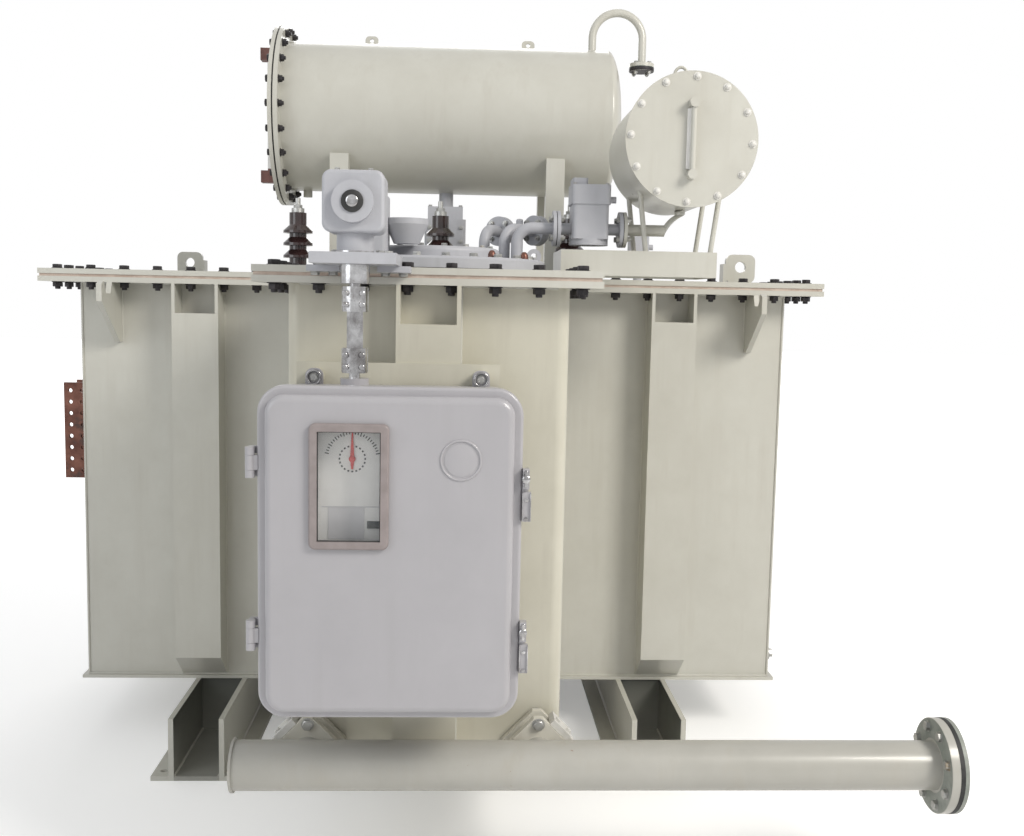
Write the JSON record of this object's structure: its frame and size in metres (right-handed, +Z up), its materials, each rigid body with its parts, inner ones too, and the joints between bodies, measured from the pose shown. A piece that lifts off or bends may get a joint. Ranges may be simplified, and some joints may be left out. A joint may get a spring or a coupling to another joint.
{
  "type": "rectifier transformer",
  "caption": "Oil-filled rectifier transformer: T-shaped bolted tank on skids with conservator, on-load tap changer, motor drive cabinet and copper low-voltage bars.",
  "frame": {"origin": "floor level, centre of the four foundation bolts in the skid base plates", "axes": "+X to the right, -Y towards the viewer and the drive cabinet, +Z up"},
  "size_m": [2.56, 2.598, 2.4325],
  "materials": {
    "tank_paint": "satin",
    "cabinet_paint": "satin",
    "casting_paint": "satin",
    "gasket_rubber": "matte",
    "seal_cord": "matte",
    "porcelain": "glossy",
    "copper": "satin",
    "zinc_steel": "satin",
    "board": "matte",
    "glass": "gloss",
    "dial_white": "matte",
    "gauge_body": "satin"
  },
  "bodies": {
    "tank": {"bay_floor": "tank_paint", "bay_stiffener": "tank_paint", "bay_wall": "tank_paint", "bevel_bracket": "tank_paint", "bevel_gear": "casting_paint", "breather": "tank_paint", "bushing_fittings": "zinc_steel", "bushings": "porcelain", "cabinet_housing": "cabinet_paint", "conservator_cover": "tank_paint", "conservator_gasket": "gasket_rubber", "conservator_gauge": "gauge_body", "conservator_shell": "tank_paint", "conservator_supports": "tank_paint", "copper_bars": "copper", "cover_lugs": "tank_paint", "dial_plate": "dial_white", "drain_plug": "zinc_steel", "flange_gasket": "seal_cord", "front_wall": "tank_paint", "head_elbows": "casting_paint", "head_gearbox": "casting_paint", "header_blind": "tank_paint", "header_gasket": "gasket_rubber", "header_pipe": "tank_paint", "header_valves": "tank_paint", "inner_panel": "cabinet_paint", "left_end_wall": "tank_paint", "lifting_hooks": "tank_paint", "main_relay": "casting_paint", "mounting_plate": "tank_paint", "rear_wall": "tank_paint", "relay_pipe": "tank_paint", "right_end_wall": "tank_paint", "skid_left": "tank_paint", "skid_right": "tank_paint", "small_cover": "tank_paint", "small_gauge": "zinc_steel", "small_shell": "tank_paint", "small_stand": "tank_paint", "tank_cover": "tank_paint", "tank_flange": "tank_paint", "tank_floor": "tank_paint", "tap_head": "casting_paint", "tap_lid": "casting_paint", "tap_relay": "casting_paint", "terminal_board": "board", "terminal_box": "casting_paint", "wing_stiffeners": "tank_paint"},
    "door": {"cabinet_door": "cabinet_paint", "window_frame": "cabinet_paint", "window_glass": "glass"},
    "upright_shaft": {"drive_shaft": "zinc_steel"},
    "level_shaft": {"cross_shaft": "zinc_steel"}
  },
  "joints": [
    {"name": "door_hinge", "type": "hinge", "parent": "tank", "child": "door", "pos_m": [-0.357, -1.732, 0.9125], "axis": [0, 0, -1], "range_deg": [0, 110]},
    {"name": "upright_spin", "type": "hinge", "parent": "tank", "child": "upright_shaft", "pos_m": [-0.156, -1.587, 1.37], "axis": [0, 0, 1], "continuous": true},
    {"name": "level_spin", "type": "hinge", "parent": "tank", "child": "level_shaft", "pos_m": [-0.156, -1.39, 1.639], "axis": [0, 1, 0], "continuous": true}
  ],
  "couplings": [
    {"joint": "level_spin", "follows": "upright_spin", "ratio": 1}
  ]
}
